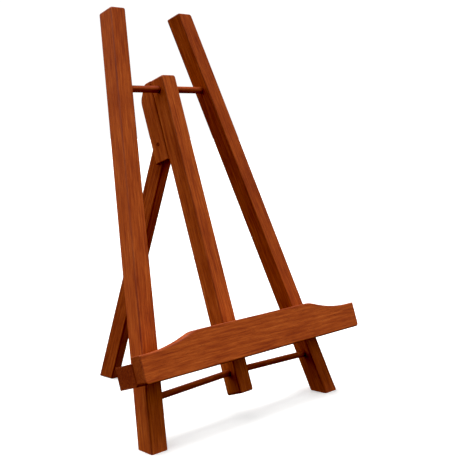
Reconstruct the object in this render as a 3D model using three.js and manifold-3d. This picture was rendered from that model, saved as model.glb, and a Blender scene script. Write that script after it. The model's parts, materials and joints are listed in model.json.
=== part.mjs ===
// A tabletop artist's easel. Two splayed legs and a centre post lean back as one frame, held by dowels,
// and carry a lipped ledge. A rear leg turns on a pin in a slotted block on the back of the post.
// Millimetres, +Z up, the artist stands on the -Y side. The origin is on the floor, under the centre
// of the whole easel.
//
// Pieces of the leaning frame are drawn in the frame's own axes: x across, y from its front face to
// the back, z up the frame from the line where its front face meets the floor.
import * as THREE from 'three';
import { mergeVertices } from 'three/addons/utils/BufferGeometryUtils.js';
import Module from 'manifold-3d';

const wasm = await Module();
wasm.setup();

const DEGREE = Math.PI / 180;

// Timber
const STOCK = 19;                     // square section of the front legs and the centre post
const EASE = 1.5;                     // rounding of every long edge
const GLUE_GAP = 0.3;                 // space left between faces that are glued or screwed together

// Leaning frame
const LEAN = 19.4 * DEGREE;
const LEG_TOP = 424;
const FOOT_SPREAD = 124.3;            // mid plane to a leg's centre line, at the floor
const DOWEL_SPREAD = 61;              // the same, at the top dowel
const TOP_DOWEL_Z = 342;
const POST_BOTTOM = 27.3;
const POST_TOP = 354.5;
const LEG_TOP_ROUNDING = 2.8;         // corners of the outlines seen from the front
const POST_TOP_ROUNDING = 3;
const POST_BOTTOM_ROUNDING = 2.8;

// Dowels
const TOP_DOWEL_RADIUS = 3.5;
const LOWER_DOWEL_RADIUS = 3.2;
const DOWEL_SEAT = 8;                 // depth of a dowel's blind socket in a leg
const POST_SEAT = 6.5;                // depth of a lower dowel's socket in the post
const LOWER_DOWEL_LEG_Z = 46.5;       // the lower dowels rise a little towards the post
const LOWER_DOWEL_POST_Z = 49.3;

// Ledge
const LEDGE_HALF_LENGTH = 152.4;
const LEDGE_BOTTOM = 61;
const SHELF_HEIGHT = 20.5;
const LEDGE_REACH = 36.8;             // front face of the lip to the front faces of the legs
const LIP_THICKNESS = 12.9;
const LIP_END_HEIGHT = 25.9;
const LIP_MIDDLE_HEIGHT = 36.1;
const LIP_END_FLAT = 11.5;            // level stretch at each end of the lip
const LIP_SLOPE = 16.7 * DEGREE;      // steepest part between the end and the middle
const HOLLOW_RADIUS = 170;
const SHOULDER_RADIUS = 35;
const LIP_CORNER = 3;                 // rounding of the lip's lower corners

// Rear leg and the block that holds it
const REAR_LEAN = 19.8 * DEGREE;
const REAR_DEPTH = 20;
const REAR_WIDTH = 12;
const BLOCK_DEPTH = 20.4;
const BLOCK_BOTTOM = 271.5;
const BLOCK_CHAMFER = { depth: 11, height: 14.5, upperRounding: 3, lowerRounding: 5 };
const SLOT_WIDTH = 12.6;
const PIN_Z = 290;
const PIN_RADIUS = 2;
const PIN_LENGTH = 18.6;
const PIN_PLAY = 0.15;
const PIN_CHAMFER = 0.3;
const PIN_SEGMENTS = 32;
const STOP_LENGTH = 8;                // flat on the rear leg's nose that meets the post when it is open
const NOSE_CLEARANCE = 0.7;

// Wood screws
const SCREW = {
  headRadius: 3.4, headHeight: 2.4, shankRadius: 1.75, tip: 5, recess: 0.3, crossLength: 4, crossWidth: 0.9,
  crossDepth: 1.3,
};
const LEDGE_SCREW_LENGTH = 32;
const BLOCK_SCREW_LENGTH = 32;
const BLOCK_SCREW_HEIGHTS = { lower: 312, upper: 330 };

// Worked out from the sizes above
const legSlope = (FOOT_SPREAD - DOWEL_SPREAD) / TOP_DOWEL_Z;
const legHalfWidth = STOCK / 2 * Math.hypot(1, legSlope);
const legCentreAt = (z) => FOOT_SPREAD - legSlope * z;
const legInnerAt = (z) => legCentreAt(z) - legHalfWidth;
const midDepth = STOCK / 2;
const blockFront = STOCK + GLUE_GAP;
const blockBack = blockFront + BLOCK_DEPTH;
const pinDepth = blockFront + REAR_DEPTH / 2;
const openAngle = LEAN + REAR_LEAN;
const noseRadius = Math.hypot(REAR_DEPTH / 2, STOP_LENGTH);
const ledgeScrewZ = LEDGE_BOTTOM + SHELF_HEIGHT / 2;

const PAST = 2;                       // how far a cutting tool reaches past the face it opens
const BELOW_FLOOR = 20;               // how far the legs are drawn below the floor before they are cut

const materials = {
  wood: new THREE.MeshStandardMaterial({ color: 0x8f3f1c, roughness: 0.42, metalness: 0 }),
  steel: new THREE.MeshStandardMaterial({ color: 0x6d6a66, roughness: 0.35, metalness: 1 }),
};

// --- Tools for closed shapes -------------------------------------------------------------------

function solidOf(geometry) {
  const bare = geometry.clone();
  bare.deleteAttribute('normal');
  bare.deleteAttribute('uv');
  const merged = mergeVertices(bare, 1e-4);
  return new wasm.Manifold(new wasm.Mesh({
    numProp: 3,
    vertProperties: merged.attributes.position.array,
    triVerts: new Uint32Array(merged.index.array),
  }));
}

function geometryOf(solid) {
  const mesh = solid.getMesh();
  const geometry = new THREE.BufferGeometry();
  geometry.setAttribute('position', new THREE.BufferAttribute(mesh.vertProperties, 3));
  geometry.setIndex(new THREE.BufferAttribute(mesh.triVerts, 1));
  geometry.computeVertexNormals();
  return geometry;
}

function cut(geometry, tools) {
  const solid = tools.reduce((rest, tool) => rest.subtract(solidOf(tool)), solidOf(geometry));
  return geometryOf(solid);
}

// A closed outline through corners given as [x, y, rounding].
function outlineOf(corners) {
  const shape = new THREE.Shape();
  corners.forEach(([x, y, rounding = 0], index) => {
    const corner = new THREE.Vector2(x, y);
    const stepTo = ([nextX, nextY]) => new THREE.Vector2(nextX, nextY).sub(corner).setLength(rounding);
    const start = corner.clone().add(stepTo(corners.at(index - 1)));
    const end = corner.clone().add(stepTo(corners[(index + 1) % corners.length]));
    if (index === 0) shape.moveTo(start.x, start.y);
    else shape.lineTo(start.x, start.y);
    if (rounding > 0) shape.quadraticCurveTo(x, y, end.x, end.y);
  });
  shape.closePath();
  return shape;
}

function easedExtrusion(outline, thickness) {
  const geometry = new THREE.ExtrudeGeometry(outline, {
    depth: thickness - 2 * EASE,
    bevelThickness: EASE,
    bevelSize: EASE,
    bevelOffset: -EASE,
    bevelSegments: 3,
    curveSegments: 10,
  });
  return geometry.translate(0, 0, EASE);
}

// A board whose outline is seen from the front of the frame (outline x across, outline y up).
function frontBoard(outline, front, back) {
  return easedExtrusion(outline, back - front).rotateX(Math.PI / 2).translate(0, back, 0);
}

// A board whose outline is seen from the side (outline x to the back, outline y up), centred on x = 0.
function sideBoard(outline, width) {
  const toSide = new THREE.Matrix4().makeBasis(
    new THREE.Vector3(0, 1, 0), new THREE.Vector3(0, 0, 1), new THREE.Vector3(1, 0, 0));
  return easedExtrusion(outline, width).translate(0, 0, -width / 2).applyMatrix4(toSide);
}

function rodAcross(radius, length, segments = 24) {
  return new THREE.CylinderGeometry(radius, radius, length, segments).rotateZ(Math.PI / 2);
}

// A countersunk screw along y, its head's flat face at y = 0 and facing the back.
function screwGeometry(length) {
  const { headRadius, headHeight, shankRadius, tip, crossLength, crossWidth, crossDepth } = SCREW;
  const profile = [[0, -length], [shankRadius, tip - length], [shankRadius, -headHeight], [headRadius, 0],
    [0, 0]];
  const body = new THREE.LatheGeometry(profile.map(([x, y]) => new THREE.Vector2(x, y)), 20);
  const slots = [[crossLength, crossWidth], [crossWidth, crossLength]].map(
    ([x, z]) => new THREE.BoxGeometry(x, 2 * crossDepth, z));
  return cut(body, slots);
}

// The hole for such a screw, open at the back.
function screwHole(length, x, y, z) {
  const { headRadius, headHeight, shankRadius } = SCREW;
  const wide = headRadius + GLUE_GAP;
  const narrow = shankRadius + GLUE_GAP;
  const profile = [[0, -length - GLUE_GAP], [narrow, -length - GLUE_GAP], [narrow, -headHeight], [wide, 0],
    [wide, PAST], [0, PAST]];
  const points = profile.map(([radius, height]) => new THREE.Vector2(radius, height));
  return new THREE.LatheGeometry(points, 20).translate(x, y, z);
}

function pieceOf(name, geometry, material) {
  const mesh = new THREE.Mesh(geometry, material);
  mesh.name = name;
  return mesh;
}

// --- Dowels ------------------------------------------------------------------------------------

const topDowelHalfLength = legInnerAt(TOP_DOWEL_Z) + DOWEL_SEAT;

function topDowelAt(radius, extra) {
  return rodAcross(radius, 2 * (topDowelHalfLength + extra)).translate(0, midDepth, TOP_DOWEL_Z);
}

// A lower dowel runs from its socket in the post to its socket in the leg on one side.
function lowerDowelAt(side, radius, extra) {
  const inner = midDepth - POST_SEAT;
  const outer = legInnerAt(LOWER_DOWEL_LEG_Z) + DOWEL_SEAT;
  const run = legInnerAt(LOWER_DOWEL_LEG_Z) - midDepth;
  const tilt = Math.atan((LOWER_DOWEL_LEG_Z - LOWER_DOWEL_POST_Z) / run);
  const middle = (inner + outer) / 2;
  const height = LOWER_DOWEL_POST_Z + Math.tan(tilt) * (middle - midDepth);
  return rodAcross(radius, (outer - inner) / Math.cos(tilt) + 2 * extra)
    .rotateY(-side * tilt)
    .translate(side * middle, midDepth, height);
}

// --- Front legs and centre post ----------------------------------------------------------------

function frontLeg(side) {
  const below = -BELOW_FLOOR;
  const edgeAt = (z, edge) => side * (legCentreAt(z) + edge * legHalfWidth);
  const outline = outlineOf([
    [edgeAt(below, -1), below],
    [edgeAt(below, 1), below],
    [edgeAt(LEG_TOP, 1), LEG_TOP, LEG_TOP_ROUNDING],
    [edgeAt(LEG_TOP, -1), LEG_TOP, LEG_TOP_ROUNDING],
  ]);
  const underFloor = new THREE.BoxGeometry(4 * FOOT_SPREAD, 10 * STOCK, 2 * BELOW_FLOOR)
    .translate(0, 0, -BELOW_FLOOR)
    .rotateX(LEAN);
  return cut(frontBoard(outline, 0, STOCK), [
    underFloor,
    topDowelAt(TOP_DOWEL_RADIUS + GLUE_GAP, GLUE_GAP),
    lowerDowelAt(side, LOWER_DOWEL_RADIUS + GLUE_GAP, GLUE_GAP),
    screwHole(LEDGE_SCREW_LENGTH, side * legCentreAt(ledgeScrewZ), STOCK - SCREW.recess, ledgeScrewZ),
  ]);
}

function centerPost() {
  const half = STOCK / 2;
  const outline = outlineOf([
    [-half, POST_BOTTOM, POST_BOTTOM_ROUNDING],
    [half, POST_BOTTOM, POST_BOTTOM_ROUNDING],
    [half, POST_TOP, POST_TOP_ROUNDING],
    [-half, POST_TOP, POST_TOP_ROUNDING],
  ]);
  return cut(frontBoard(outline, 0, STOCK), [
    topDowelAt(TOP_DOWEL_RADIUS + GLUE_GAP, GLUE_GAP),
    lowerDowelAt(-1, LOWER_DOWEL_RADIUS + GLUE_GAP, GLUE_GAP),
    lowerDowelAt(1, LOWER_DOWEL_RADIUS + GLUE_GAP, GLUE_GAP),
    screwHole(LEDGE_SCREW_LENGTH, 0, STOCK - SCREW.recess, ledgeScrewZ),
    ...blockScrewHoles(),
  ]);
}

// --- Ledge -------------------------------------------------------------------------------------

const shelfFront = LIP_THICKNESS - LEDGE_REACH;

function shelfBar() {
  const top = LEDGE_BOTTOM + SHELF_HEIGHT;
  const outline = outlineOf([
    [-LEDGE_HALF_LENGTH, LEDGE_BOTTOM],
    [LEDGE_HALF_LENGTH, LEDGE_BOTTOM],
    [LEDGE_HALF_LENGTH, top],
    [-LEDGE_HALF_LENGTH, top],
  ]);
  const holes = [-legCentreAt(ledgeScrewZ), 0, legCentreAt(ledgeScrewZ)].map(
    (x) => screwHole(LEDGE_SCREW_LENGTH, x, STOCK - SCREW.recess, ledgeScrewZ));
  return cut(frontBoard(outline, shelfFront, -GLUE_GAP), holes);
}

// The lip is level at both ends, sweeps up through a hollow and a shoulder, and is level in the middle.
function lipBoard() {
  const end = LEDGE_BOTTOM + LIP_END_HEIGHT;
  const middle = LEDGE_BOTTOM + LIP_MIDDLE_HEIGHT;
  const radii = HOLLOW_RADIUS + SHOULDER_RADIUS;
  const straight = (middle - end - radii * (1 - Math.cos(LIP_SLOPE))) / Math.sin(LIP_SLOPE);
  const hollowX = LEDGE_HALF_LENGTH - LIP_END_FLAT;
  const shoulderX = hollowX - radii * Math.sin(LIP_SLOPE) - straight * Math.cos(LIP_SLOPE);
  const cornerX = LEDGE_HALF_LENGTH - LIP_CORNER;
  const up = Math.PI / 2;
  const outline = new THREE.Shape();
  outline.moveTo(-cornerX, LEDGE_BOTTOM);
  outline.lineTo(cornerX, LEDGE_BOTTOM);
  outline.absarc(cornerX, LEDGE_BOTTOM + LIP_CORNER, LIP_CORNER, -up, 0, false);
  outline.lineTo(LEDGE_HALF_LENGTH, end);
  outline.absarc(hollowX, end + HOLLOW_RADIUS, HOLLOW_RADIUS, -up, -up - LIP_SLOPE, true);
  outline.absarc(shoulderX, middle - SHOULDER_RADIUS, SHOULDER_RADIUS, up - LIP_SLOPE, up, false);
  outline.absarc(-shoulderX, middle - SHOULDER_RADIUS, SHOULDER_RADIUS, up, up + LIP_SLOPE, false);
  outline.absarc(-hollowX, end + HOLLOW_RADIUS, HOLLOW_RADIUS, LIP_SLOPE - up, -up, true);
  outline.lineTo(-LEDGE_HALF_LENGTH, end);
  outline.absarc(-cornerX, LEDGE_BOTTOM + LIP_CORNER, LIP_CORNER, Math.PI, Math.PI + up, false);
  outline.closePath();
  return frontBoard(outline, -LEDGE_REACH, shelfFront - GLUE_GAP);
}

// --- Rear leg, its block and its pin -----------------------------------------------------------

function blockScrewHoles() {
  return Object.values(BLOCK_SCREW_HEIGHTS).map(
    (z) => screwHole(BLOCK_SCREW_LENGTH, 0, blockBack - SCREW.recess, z));
}

function hingeBlock() {
  const outline = outlineOf([
    [blockFront, BLOCK_BOTTOM],
    [blockBack, BLOCK_BOTTOM],
    [blockBack, POST_TOP - BLOCK_CHAMFER.height, BLOCK_CHAMFER.lowerRounding],
    [blockBack - BLOCK_CHAMFER.depth, POST_TOP, BLOCK_CHAMFER.upperRounding],
    [blockFront, POST_TOP],
  ]);
  const slotTop = PIN_Z + noseRadius + NOSE_CLEARANCE;
  const slotBottom = BLOCK_BOTTOM - PAST;
  const slot = new THREE.BoxGeometry(SLOT_WIDTH, BLOCK_DEPTH + 2 * PAST, slotTop - slotBottom)
    .translate(0, blockFront + BLOCK_DEPTH / 2, (slotTop + slotBottom) / 2);
  const pinHole = rodAcross(PIN_RADIUS + PIN_PLAY, STOCK + PAST, PIN_SEGMENTS)
    .translate(0, pinDepth, PIN_Z);
  return cut(sideBoard(outline, STOCK), [slot, pinHole, ...blockScrewHoles()]);
}

function hingePin() {
  const half = PIN_LENGTH / 2;
  const tip = PIN_RADIUS - PIN_CHAMFER;
  const profile = [[0, -half], [tip, -half], [PIN_RADIUS, PIN_CHAMFER - half],
    [PIN_RADIUS, half - PIN_CHAMFER], [tip, half], [0, half]];
  const points = profile.map(([x, y]) => new THREE.Vector2(x, y));
  return new THREE.LatheGeometry(points, PIN_SEGMENTS).rotateZ(-Math.PI / 2);
}

// The rear leg is drawn around its pin: the nose is round, so that it turns clear of the post, and
// ends in a flat that comes to rest on the back of the post. Its foot is cut level with the floor.
function rearLeg(pinHeight) {
  const half = REAR_DEPTH / 2;
  const footAt = (y) => (-pinHeight - y * Math.sin(REAR_LEAN)) / Math.cos(REAR_LEAN);
  const stopStart = Math.PI - openAngle;
  const stopEnd = stopStart - Math.atan(STOP_LENGTH / half);
  const outline = new THREE.Shape();
  outline.moveTo(half, footAt(half));
  outline.lineTo(half, STOP_LENGTH);
  outline.absarc(0, 0, noseRadius, Math.atan(STOP_LENGTH / half), stopEnd, false);
  outline.absarc(0, 0, half, stopStart, Math.PI, false);
  outline.lineTo(-half, footAt(-half));
  outline.closePath();
  return cut(sideBoard(outline, REAR_WIDTH), [rodAcross(PIN_RADIUS + PIN_PLAY, STOCK, PIN_SEGMENTS)]);
}

// --- Assembly ----------------------------------------------------------------------------------

function leaningFrame() {
  const group = new THREE.Group();
  group.rotation.x = -LEAN;
  group.add(pieceOf('left_leg', frontLeg(-1), materials.wood));
  group.add(pieceOf('right_leg', frontLeg(1), materials.wood));
  group.add(pieceOf('center_post', centerPost(), materials.wood));
  group.add(pieceOf('top_dowel', topDowelAt(TOP_DOWEL_RADIUS, 0), materials.wood));
  group.add(pieceOf('lower_dowel_left', lowerDowelAt(-1, LOWER_DOWEL_RADIUS, 0), materials.wood));
  group.add(pieceOf('lower_dowel_right', lowerDowelAt(1, LOWER_DOWEL_RADIUS, 0), materials.wood));
  group.add(pieceOf('shelf_bar', shelfBar(), materials.wood));
  group.add(pieceOf('lip_board', lipBoard(), materials.wood));
  group.add(pieceOf('hinge_block', hingeBlock(), materials.wood));

  const pin = pieceOf('hinge_pin', hingePin(), materials.wood);
  pin.position.set(0, pinDepth, PIN_Z);
  group.add(pin);

  const ledgeScrews = { left: -legCentreAt(ledgeScrewZ), center: 0, right: legCentreAt(ledgeScrewZ) };
  for (const [place, x] of Object.entries(ledgeScrews)) {
    const screw = pieceOf(`shelf_screw_${place}`, screwGeometry(LEDGE_SCREW_LENGTH), materials.steel);
    screw.position.set(x, STOCK - SCREW.recess, ledgeScrewZ);
    group.add(screw);
  }
  for (const [place, z] of Object.entries(BLOCK_SCREW_HEIGHTS)) {
    const screw = pieceOf(`block_screw_${place}`, screwGeometry(BLOCK_SCREW_LENGTH), materials.steel);
    screw.position.set(0, blockBack - SCREW.recess, z);
    group.add(screw);
  }
  return group;
}

function rearSupport() {
  const group = new THREE.Group();
  group.position.set(0, pinDepth, PIN_Z).applyAxisAngle(new THREE.Vector3(1, 0, 0), -LEAN);
  group.rotation.x = REAR_LEAN;
  group.add(pieceOf('rear_leg', rearLeg(group.position.z), materials.wood));
  return group;
}

const easel = new THREE.Group();
easel.add(leaningFrame(), rearSupport());
const extent = new THREE.Box3().setFromObject(easel, true);
const centre = extent.getCenter(new THREE.Vector3());
easel.position.set(-centre.x, -centre.y, -extent.min.z);

export default easel;
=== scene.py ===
"""Looks for the wooden tabletop easel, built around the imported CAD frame.

Every wooden CAD node is stood for by a piece with the same shape whose cut edges are eased. One wood
shader serves them all: it turns object coordinates into the board's own axes, with z along the grain.
The screws keep their CAD meshes.
"""
import json
import math
import random

import bmesh
import bpy
from mathutils import Matrix, Vector

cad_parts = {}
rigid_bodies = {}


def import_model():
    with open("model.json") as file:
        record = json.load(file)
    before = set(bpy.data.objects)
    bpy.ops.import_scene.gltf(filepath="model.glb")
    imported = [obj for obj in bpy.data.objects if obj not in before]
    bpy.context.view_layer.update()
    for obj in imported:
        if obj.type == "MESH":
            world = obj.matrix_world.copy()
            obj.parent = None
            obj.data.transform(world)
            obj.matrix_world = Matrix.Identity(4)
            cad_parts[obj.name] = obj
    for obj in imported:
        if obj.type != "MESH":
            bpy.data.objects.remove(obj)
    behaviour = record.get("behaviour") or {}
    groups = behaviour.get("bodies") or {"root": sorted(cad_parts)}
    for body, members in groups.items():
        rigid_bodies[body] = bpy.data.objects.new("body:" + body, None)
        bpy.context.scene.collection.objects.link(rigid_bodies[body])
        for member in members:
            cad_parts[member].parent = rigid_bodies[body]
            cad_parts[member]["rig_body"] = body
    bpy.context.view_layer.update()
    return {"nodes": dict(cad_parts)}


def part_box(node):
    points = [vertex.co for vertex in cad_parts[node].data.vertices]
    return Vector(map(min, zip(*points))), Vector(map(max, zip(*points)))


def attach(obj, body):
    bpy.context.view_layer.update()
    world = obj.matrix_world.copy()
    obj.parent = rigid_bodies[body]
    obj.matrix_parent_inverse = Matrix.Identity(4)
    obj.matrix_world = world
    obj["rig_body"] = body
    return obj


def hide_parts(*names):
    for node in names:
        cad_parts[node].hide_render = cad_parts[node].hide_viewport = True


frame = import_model()

MM = 0.001

# Directions of the boards, in the CAD model's axes
LEAN = math.radians(19.4)
SPLAY = math.radians(10.49)
REAR_LEAN = math.radians(19.8)
ACROSS = Vector((1, 0, 0))
UP_FRAME = Vector((0, math.sin(LEAN), math.cos(LEAN)))
INTO_FRAME = Vector((0, math.cos(LEAN), -math.sin(LEAN)))
UP_REAR = Vector((0, -math.sin(REAR_LEAN), math.cos(REAR_LEAN)))


def leg_grain(side):
    return (UP_FRAME * math.cos(SPLAY) - ACROSS * side * math.sin(SPLAY)).normalized()


# node: (grain direction, material slot, tone, number that sets its own grain)
BOARDS = {
    "left_leg": (leg_grain(-1), "stained_wood", 0.04, 3),
    "right_leg": (leg_grain(1), "stained_wood", -0.04, 11),
    "center_post": (UP_FRAME, "stained_wood", 0.07, 5),
    "hinge_block": (UP_FRAME, "stained_wood", 0.12, 23),
    "rear_leg": (UP_REAR, "stained_wood", -0.06, 31),
    "shelf_bar": (ACROSS, "stained_wood", -0.18, 41),
    "lip_board": (ACROSS, "stained_wood", 0.05, 47),
    "top_dowel": (ACROSS, "dowel_wood", -0.20, 53),
    "lower_dowel_left": (ACROSS, "dowel_wood", -0.03, 59),
    "lower_dowel_right": (ACROSS, "dowel_wood", -0.03, 61),
    "hinge_pin": (ACROSS, "dowel_wood", -0.25, 67),
}

# --- Node building ------------------------------------------------------------------------------


class Graph:
    """A material's nodes, with short calls that add one and link it."""

    def __init__(self, name):
        self.material = bpy.data.materials.new(name)
        self.material.use_nodes = True
        self.tree = self.material.node_tree
        self.shader = next(n for n in self.tree.nodes if n.type == "BSDF_PRINCIPLED")

    def node(self, kind, **settings):
        made = self.tree.nodes.new(kind)
        for key, value in settings.items():
            setattr(made, key, value)
        return made

    def feed(self, socket, value):
        if isinstance(value, bpy.types.NodeSocket):
            self.tree.links.new(value, socket)
        else:
            socket.default_value = value

    def math(self, operation, *values, clamp=False):
        made = self.node("ShaderNodeMath", operation=operation, use_clamp=clamp)
        for socket, value in zip(made.inputs, values):
            self.feed(socket, value)
        return made.outputs[0]

    def vector(self, operation, *values):
        made = self.node("ShaderNodeVectorMath", operation=operation)
        for socket, value in zip(made.inputs, values):
            self.feed(socket, value)
        return made.outputs[0]

    def millimetres(self, rotation, location):
        """Object coordinates in millimetres, turned and then moved."""
        place = self.node("ShaderNodeMapping")
        self.feed(place.inputs["Vector"], self.node("ShaderNodeTexCoord").outputs["Object"])
        place.inputs["Scale"].default_value = (1 / MM,) * 3
        place.inputs["Rotation"].default_value = rotation
        place.inputs["Location"].default_value = location
        return place.outputs["Vector"]

    def noise(self, position, scale, detail=2.0, roughness=0.5, output="Fac"):
        """Noise over a position in millimetres. scale is how many cells there are to one, each way."""
        made = self.node("ShaderNodeTexNoise")
        self.feed(made.inputs["Vector"], self.vector("MULTIPLY", position, scale))
        made.inputs["Scale"].default_value = 1.0
        made.inputs["Detail"].default_value = detail
        made.inputs["Roughness"].default_value = roughness
        return made.outputs[output]

    def steps(self, value, low, high, to_low=0.0, to_high=1.0):
        """A smooth step of value from low to high."""
        made = self.node("ShaderNodeMapRange", interpolation_type="SMOOTHSTEP")
        limits = {"From Min": low, "From Max": high, "To Min": to_low, "To Max": to_high}
        for key, number in limits.items():
            made.inputs[key].default_value = number
        self.feed(made.inputs["Value"], value)
        return made.outputs["Result"]

    def ramp(self, value, stops):
        made = self.node("ShaderNodeValToRGB")
        elements = made.color_ramp.elements
        while len(elements) < len(stops):
            elements.new(0.5)
        for element, (place, colour) in zip(elements, stops):
            element.position = place
            element.color = (*colour, 1)
        self.feed(made.inputs["Fac"], value)
        return made.outputs["Color"]

    def mix(self, factor, first, second):
        made = self.node("ShaderNodeMix", data_type="RGBA")
        self.feed(made.inputs["Factor"], factor)
        for socket, value in zip([s for s in made.inputs if s.type == "RGBA"], (first, second)):
            self.feed(socket, (*value, 1) if isinstance(value, tuple) else value)
        return next(s for s in made.outputs if s.type == "RGBA")

    def attribute(self, name):
        return self.node("ShaderNodeAttribute", attribute_name=name).outputs["Fac"]

    def bump(self, height, strength, distance):
        made = self.node("ShaderNodeBump")
        made.inputs["Strength"].default_value = strength
        made.inputs["Distance"].default_value = distance
        self.feed(made.inputs["Height"], height)
        self.feed(self.shader.inputs["Normal"], made.outputs["Normal"])

    def set(self, **constants):
        for key, value in constants.items():
            self.shader.inputs[key.replace("_", " ")].default_value = value


# --- Wood ---------------------------------------------------------------------------------------

STAIN = [
    (0.0, (0.105, 0.0115, 0.0075)),
    (0.32, (0.270, 0.0425, 0.0125)),
    (0.58, (0.410, 0.0780, 0.0165)),
    (0.80, (0.520, 0.1120, 0.0225)),
    (1.0, (0.620, 0.1600, 0.0350)),
]
SOAKED_AND_EDGE_SHADE = (0.130, 0.0200, 0.0100)      # end grain and open pores, where the stain is deepest; on the rounded edges it is painted shade

# Patterns in a board: cells to a millimetre along its three axes, the last one along the grain
DRIFT = {"scale": (0.03, 0.03, 0.006)}
BANDS = {"scale": (0.48, 0.48, 0.026), "detail": 4, "roughness": 0.65}
FIBRES = {"scale": (1.9, 1.9, 0.075), "detail": 4, "roughness": 0.65}
BLOTCHES = {"scale": (0.06, 0.06, 0.024), "detail": 3}
PORES = {"scale": (3.1, 3.1, 0.2), "detail": 1}
EDGE_SHADE_PATCHES = {"scale": (0.30, 0.30, 0.08), "detail": 3}
PORE_OPENS = (0.60, 0.72)             # the noise over which a pore opens, and over which the painted edge shade goes from deep to light
EDGE_SHADE_RANGE = (0.30, 0.62)

# How far each pattern moves the stain from its middle shade
MIDDLE_SHADE = 0.56
BAND_DEPTH = 1.30
FIBRE_DEPTH = 0.80
BLOTCH_DEPTH = 0.50
LATE_DEPTH = 0.13

# Growth rings, in millimetres
TREE_REACH = 400                      # how far apart in the tree the boards may come from
PITH_DISTANCE = (38, 70)
PITH_DRIFT = (7, 7, 0)
TREE_TAPER = 0.012
RING_WIDTH = (1.9, 2.6)
RING_DARKENS = (0.25, 0.86)           # parts of a ring's width over which it darkens and clears again
RING_CLEARS = (0.88, 1.0)
FAINTEST_RING = 0.2

# How much of the soaked colour each place takes, which on the rounded edges is painted shade
PORE_SOAK = 0.45
END_SOAK = 0.35
EDGE_PAINTED_SHADE = (0.60, 0.30)              # painted shade on the rounded edges: where it is deepest, and where it is lightest

# Satin finish
FIBRE_ROUGHNESS = (0.36, 0.58)
PORE_ROUGHNESS = 0.12                 # added in a pore, and on end grain
END_ROUGHNESS = 0.15
LATE_RELIEF = 0.5
PORE_RELIEF = -1.1
GRAIN_RELIEF = 0.12 * MM
GRAIN_STRENGTH = 0.30


def late_wood(graph, board, sawn_at, draw):
    """The dark part of each growth ring. The pith lies outside the board and drifts along it."""
    turn = draw.uniform(0, 2 * math.pi)
    distance = draw.uniform(*PITH_DISTANCE)
    drift = graph.vector("SUBTRACT", graph.noise(board, **DRIFT, output="Color"), (0.5,) * 3)
    bent = graph.vector("ADD", board, graph.vector("MULTIPLY", drift, PITH_DRIFT))
    pith = sawn_at + Vector((math.cos(turn), math.sin(turn), 0)) * distance
    taper = draw.choice((-1, 1)) * TREE_TAPER
    from_pith = graph.vector("MULTIPLY", graph.vector("SUBTRACT", bent, tuple(pith)), (1, 1, taper))
    length = graph.node("ShaderNodeVectorMath", operation="LENGTH")
    graph.feed(length.inputs[0], from_pith)
    ring = graph.math("DIVIDE", length.outputs["Value"], draw.uniform(*RING_WIDTH))

    phase = graph.math("FRACT", ring)
    darkening = graph.steps(phase, *RING_DARKENS)
    dark = graph.math("MULTIPLY", darkening, graph.steps(phase, *RING_CLEARS, 1.0, 0.0))
    own = graph.node("ShaderNodeTexWhiteNoise", noise_dimensions="1D")
    graph.feed(own.inputs["W"], graph.math("FLOOR", ring))
    strength = graph.math("MULTIPLY_ADD", own.outputs["Value"], 1 - FAINTEST_RING, FAINTEST_RING)
    return graph.math("MULTIPLY", dark, strength)


def wood_material(name, axes, tone, seed):
    """Satin red-brown stain on straight grain. axes are the board's own, with z along the grain."""
    draw = random.Random(seed)
    graph = Graph(name)
    to_board = axes.inverted()
    sawn_at = Vector(draw.uniform(-TREE_REACH, TREE_REACH) for _ in range(3))
    board = graph.millimetres(to_board.to_euler(), sawn_at + to_board.translation / MM)

    late = late_wood(graph, board, sawn_at, draw)
    bands = graph.noise(board, **BANDS)
    fibres = graph.noise(board, **FIBRES)
    blotches = graph.noise(board, **BLOTCHES)
    pores = graph.steps(graph.noise(board, **PORES), *PORE_OPENS)
    # Painted shade on the rounded edges, deeper in some patches than in others
    painted_edge_shade = graph.steps(graph.noise(board, **EDGE_SHADE_PATCHES), *EDGE_SHADE_RANGE, *EDGE_PAINTED_SHADE)
    end_grain = graph.attribute("end_grain")
    edge = graph.attribute("edge")

    shade = MIDDLE_SHADE + tone - (BAND_DEPTH + FIBRE_DEPTH + BLOTCH_DEPTH) / 2
    shade = graph.math("MULTIPLY_ADD", bands, BAND_DEPTH, shade)
    shade = graph.math("MULTIPLY_ADD", fibres, FIBRE_DEPTH, shade)
    shade = graph.math("MULTIPLY_ADD", blotches, BLOTCH_DEPTH, shade)
    shade = graph.math("MULTIPLY_ADD", late, -LATE_DEPTH, shade, clamp=True)

    colour = graph.ramp(shade, STAIN)
    # Pores and end grain take the deeper stain; the rounded edges take painted shade
    for where, soak_and_shade in ((pores, PORE_SOAK), (end_grain, END_SOAK), (edge, painted_edge_shade)):
        colour = graph.mix(graph.math("MULTIPLY", where, soak_and_shade), colour, SOAKED_AND_EDGE_SHADE)
    graph.feed(graph.shader.inputs["Base Color"], colour)

    smoothest, roughest = FIBRE_ROUGHNESS
    rough = graph.math("MULTIPLY_ADD", fibres, roughest - smoothest, smoothest)
    rough = graph.math("MULTIPLY_ADD", pores, PORE_ROUGHNESS, rough)
    rough = graph.math("MULTIPLY_ADD", end_grain, END_ROUGHNESS, rough, clamp=True)
    graph.feed(graph.shader.inputs["Roughness"], rough)

    relief = graph.math("MULTIPLY_ADD", late, LATE_RELIEF, fibres)
    relief = graph.math("MULTIPLY_ADD", pores, PORE_RELIEF, relief)
    graph.bump(relief, GRAIN_STRENGTH, GRAIN_RELIEF)
    graph.set(Specular_IOR_Level=0.22, Coat_Weight=0.06, Coat_Roughness=0.30)
    return graph.material


# --- Steel --------------------------------------------------------------------------------------

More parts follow.
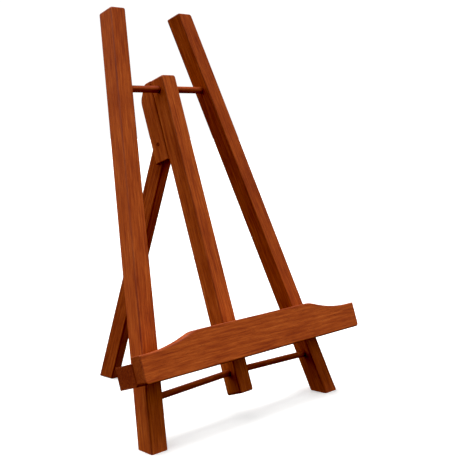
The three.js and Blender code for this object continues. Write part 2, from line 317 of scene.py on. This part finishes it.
PLATING = [
    (0.3, (0.30, 0.27, 0.23)),
    (0.55, (0.55, 0.53, 0.50)),
    (0.8, (0.68, 0.66, 0.63)),
]
SPOTS = {"scale": (0.9,) * 3, "detail": 4, "roughness": 0.6}
SCRATCHES = {"scale": (0.6, 6.0, 6.0), "detail": 2}
STEEL_ROUGHNESS = (0.35, 0.65)
SCRATCH_RELIEF = 0.03 * MM
SCRATCH_STRENGTH = 0.15
STEEL_SEED = 71
STEEL_REACH = 50                      # millimetres over which its pattern is placed


def steel_material(name, seed):
    """Dull plated steel with fine scratches and a slightly stained surface."""
    draw = random.Random(seed)
    graph = Graph(name)
    metal = graph.millimetres((0, 0, 0), [draw.uniform(-STEEL_REACH, STEEL_REACH) for _ in range(3)])
    graph.feed(graph.shader.inputs["Base Color"], graph.ramp(graph.noise(metal, **SPOTS), PLATING))
    scratches = graph.noise(metal, **SCRATCHES)
    smoothest, roughest = STEEL_ROUGHNESS
    rough = graph.math("MULTIPLY_ADD", scratches, roughest - smoothest, smoothest)
    graph.feed(graph.shader.inputs["Roughness"], rough)
    graph.bump(scratches, SCRATCH_STRENGTH, SCRATCH_RELIEF)
    graph.set(Metallic=0.6)
    return graph.material


# --- Wooden pieces ------------------------------------------------------------------------------

EASED = 0.55 * MM          # rounding of the cut ends and of hole rims
FOOT_EASED = 1.6 * MM      # rounding around the soles of the front legs
ON_FLOOR = 0.16 * MM       # a point lower than this is on the floor
EASING_STEPS = 3
SHARP = math.radians(40)
FLAT = math.radians(0.4)   # faces that meet at less than this are one
SAME_POINT = 0.002 * MM
FRONT_LEGS = ("left_leg", "right_leg")
NARROW = 0.90 * MM         # faces thinner than this are the rounding of an edge
END_FACE = 0.8             # a face turned this much towards the grain shows end grain


def board_axes(node, grain):
    """The board's own axes: z along the grain, y towards the back, origin at its middle."""
    low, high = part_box(node)
    back = (INTO_FRAME - grain * INTO_FRAME.dot(grain)).normalized()
    side = back.cross(grain)
    turned = Matrix((side, back, grain)).transposed().to_4x4()
    return Matrix.Translation((low + high) / 2) @ turned


def width_of(face):
    """How wide a face is across its longest edge."""
    share = 2 if len(face.verts) == 3 else 1
    return share * face.calc_area() / max(edge.calc_length() for edge in face.edges)


def ease(shape, edges, offset):
    bmesh.ops.bevel(shape, geom=edges, offset=offset, segments=EASING_STEPS, profile=0.5, affect="EDGES",
                    clamp_overlap=True)


def mark_edges_and_ends(shape, grain):
    """Writes for the shader which points are on an edge's rounding, and which faces are end grain."""
    edge = shape.verts.layers.float.new("edge")
    end_grain = shape.loops.layers.float.new("end_grain")
    shape.normal_update()
    for vertex in shape.verts:
        vertex[edge] = float(all(width_of(f) < NARROW for f in vertex.link_faces))
    for face in shape.faces:
        for loop in face.loops:
            loop[end_grain] = float(abs(face.normal.dot(grain)) > END_FACE)


def eased_mesh(node, axes):
    """A copy of the node's mesh with flat faces made whole and the cut edges rounded."""
    mesh = frame["nodes"][node].data.copy()
    mesh.name = node + "_wood"
    mesh.materials.clear()
    shape = bmesh.new()
    shape.from_mesh(mesh)
    bmesh.ops.remove_doubles(shape, verts=shape.verts, dist=SAME_POINT)
    bmesh.ops.dissolve_limit(shape, angle_limit=FLAT, verts=shape.verts, edges=shape.edges)
    if node in FRONT_LEGS:
        ease(shape, [e for e in shape.edges if all(v.co.z < ON_FLOOR for v in e.verts)], FOOT_EASED)
    ease(shape, [e for e in shape.edges if e.is_manifold and e.calc_face_angle() > SHARP], EASED)
    mark_edges_and_ends(shape, axes.col[2].xyz)
    for face in shape.faces:
        face.smooth = True
    shape.to_mesh(mesh)
    shape.free()
    return mesh


def make_board(node, grain, slot, tone, seed):
    axes = board_axes(node, grain)
    piece = bpy.data.objects.new(node + "_wood", eased_mesh(node, axes))
    bpy.context.scene.collection.objects.link(piece)
    piece.data.materials.append(wood_material(node + "_stain", axes, tone, seed))
    normals = piece.modifiers.new("flat faces stay flat", "WEIGHTED_NORMAL")
    normals.weight = 100
    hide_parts(node)
    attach(piece, frame["nodes"][node]["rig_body"])


for node_name, about in BOARDS.items():
    make_board(node_name, *about)

steel = steel_material("plated_steel", STEEL_SEED)
for node_name, cad_object in frame["nodes"].items():
    if node_name not in BOARDS:
        cad_object.data.materials.clear()
        cad_object.data.materials.append(steel)

# --- Floor, light and camera --------------------------------------------------------------------

STAGE_HALF = 9.0                      # metres from the middle of the floor to its edge
BACKDROP_RADIUS = STAGE_HALF * 0.98
PAPER = [
    (0.3, (0.90, 0.895, 0.885)),
    (0.7, (0.93, 0.925, 0.915)),
]
PAPER_GRAIN = 40                      # cells across the whole floor
WHITE = (1, 1, 1, 1)
FLOOR_GLOW = 0.35
BACKDROP_GLOW = 1.05
WORLD_COLOUR = (1, 0.985, 0.96, 1)
WORLD_STRENGTH = 0.02

# name: (where it stands, strength, angle across in degrees, whether it makes highlights)
LAMPS = {
    "overhead": ((0, 0, 1), 3.1, 40, True),
    "upper_left": ((-0.6, -0.1, 0.8), 0.6, 50, True),
    "front_right": ((0.7, -0.7, 0.35), 1.25, 50, False),
    "left_behind": ((-0.85, 0.5, 0.25), 1.0, 50, False),
    "upper_behind": ((-0.1, 0.6, 0.8), 0.9, 50, True),
    "behind": ((0.45, 0.85, 0.25), 1.2, 60, False),
}

LENS = 73.8                           # millimetres, on Blender's 36 mm sensor
CAMERA_PLACE = (-0.6662, -0.69866, 0.2995)
CAMERA_DOWN = 7.31                    # degrees below level
CAMERA_HEADING = -46.945              # degrees from the +Y direction
BLACK = 0.006


def stage_object(name, mesh, material):
    made = bpy.data.objects.new(name, mesh)
    bpy.context.scene.collection.objects.link(made)
    mesh.materials.append(material)
    return made


def make_floor():
    """Plain paper that throws no light on the easel and no reflection into it."""
    mesh = bpy.data.meshes.new("floor")
    corners = [(x * STAGE_HALF, y * STAGE_HALF, 0) for x, y in ((-1, -1), (1, -1), (1, 1), (-1, 1))]
    mesh.from_pydata(corners, [], [(0, 1, 2, 3)])
    graph = Graph("floor_paper")
    grain = graph.node("ShaderNodeTexNoise")
    grain.inputs["Scale"].default_value = PAPER_GRAIN
    graph.feed(graph.shader.inputs["Base Color"], graph.ramp(grain.outputs["Fac"], PAPER))
    graph.set(Roughness=0.9, Specular_IOR_Level=0.1, Emission_Color=WHITE, Emission_Strength=FLOOR_GLOW)
    floor = stage_object("floor", mesh, graph.material)
    floor.visible_diffuse = False
    floor.visible_glossy = False


def make_backdrop():
    """A plain white dome that only the camera sees."""
    shape = bmesh.new()
    bmesh.ops.create_icosphere(shape, subdivisions=4, radius=BACKDROP_RADIUS)
    mesh = bpy.data.meshes.new("backdrop")
    shape.to_mesh(mesh)
    shape.free()
    graph = Graph("backdrop_white")
    graph.set(Base_Color=(0, 0, 0, 1), Specular_IOR_Level=0.0)
    graph.set(Emission_Color=WHITE, Emission_Strength=BACKDROP_GLOW)
    backdrop = stage_object("backdrop", mesh, graph.material)
    for ray in ("diffuse", "glossy", "transmission", "volume_scatter", "shadow"):
        setattr(backdrop, "visible_" + ray, False)


def add_sun(name, towards, strength, spread, gloss):
    """A distant soft lamp that stands in the direction given. Without gloss it makes no highlight."""
    lamp = bpy.data.lights.new(name, "SUN")
    lamp.energy = strength
    lamp.angle = math.radians(spread)
    holder = bpy.data.objects.new(name, lamp)
    holder.rotation_euler = Vector(towards).to_track_quat("Z", "Y").to_euler()
    holder.visible_glossy = gloss
    bpy.context.scene.collection.objects.link(holder)


def make_world():
    world = bpy.data.worlds.new("studio")
    bpy.context.scene.world = world
    world.use_nodes = True
    background = next(n for n in world.node_tree.nodes if n.type == "BACKGROUND")
    background.inputs["Color"].default_value = WORLD_COLOUR
    background.inputs["Strength"].default_value = WORLD_STRENGTH


def make_camera():
    camera = bpy.data.objects.new("camera", bpy.data.cameras.new("camera"))
    bpy.context.scene.collection.objects.link(camera)
    camera.data.lens = LENS
    camera.location = CAMERA_PLACE
    camera.rotation_euler = [math.radians(a) for a in (90 - CAMERA_DOWN, 0, CAMERA_HEADING)]
    camera.data.clip_start, camera.data.clip_end = 0.01, 50
    bpy.context.scene.camera = camera


def set_view():
    """Plain display colours with a slightly deeper black."""
    view = bpy.context.scene.view_settings
    view.view_transform = "Standard"
    view.use_curve_mapping = True
    view.curve_mapping.black_level = (BLACK,) * 3
    view.curve_mapping.update()


make_floor()
make_backdrop()
make_world()
for lamp_name, about in LAMPS.items():
    add_sun(lamp_name, *about)
make_camera()
set_view()
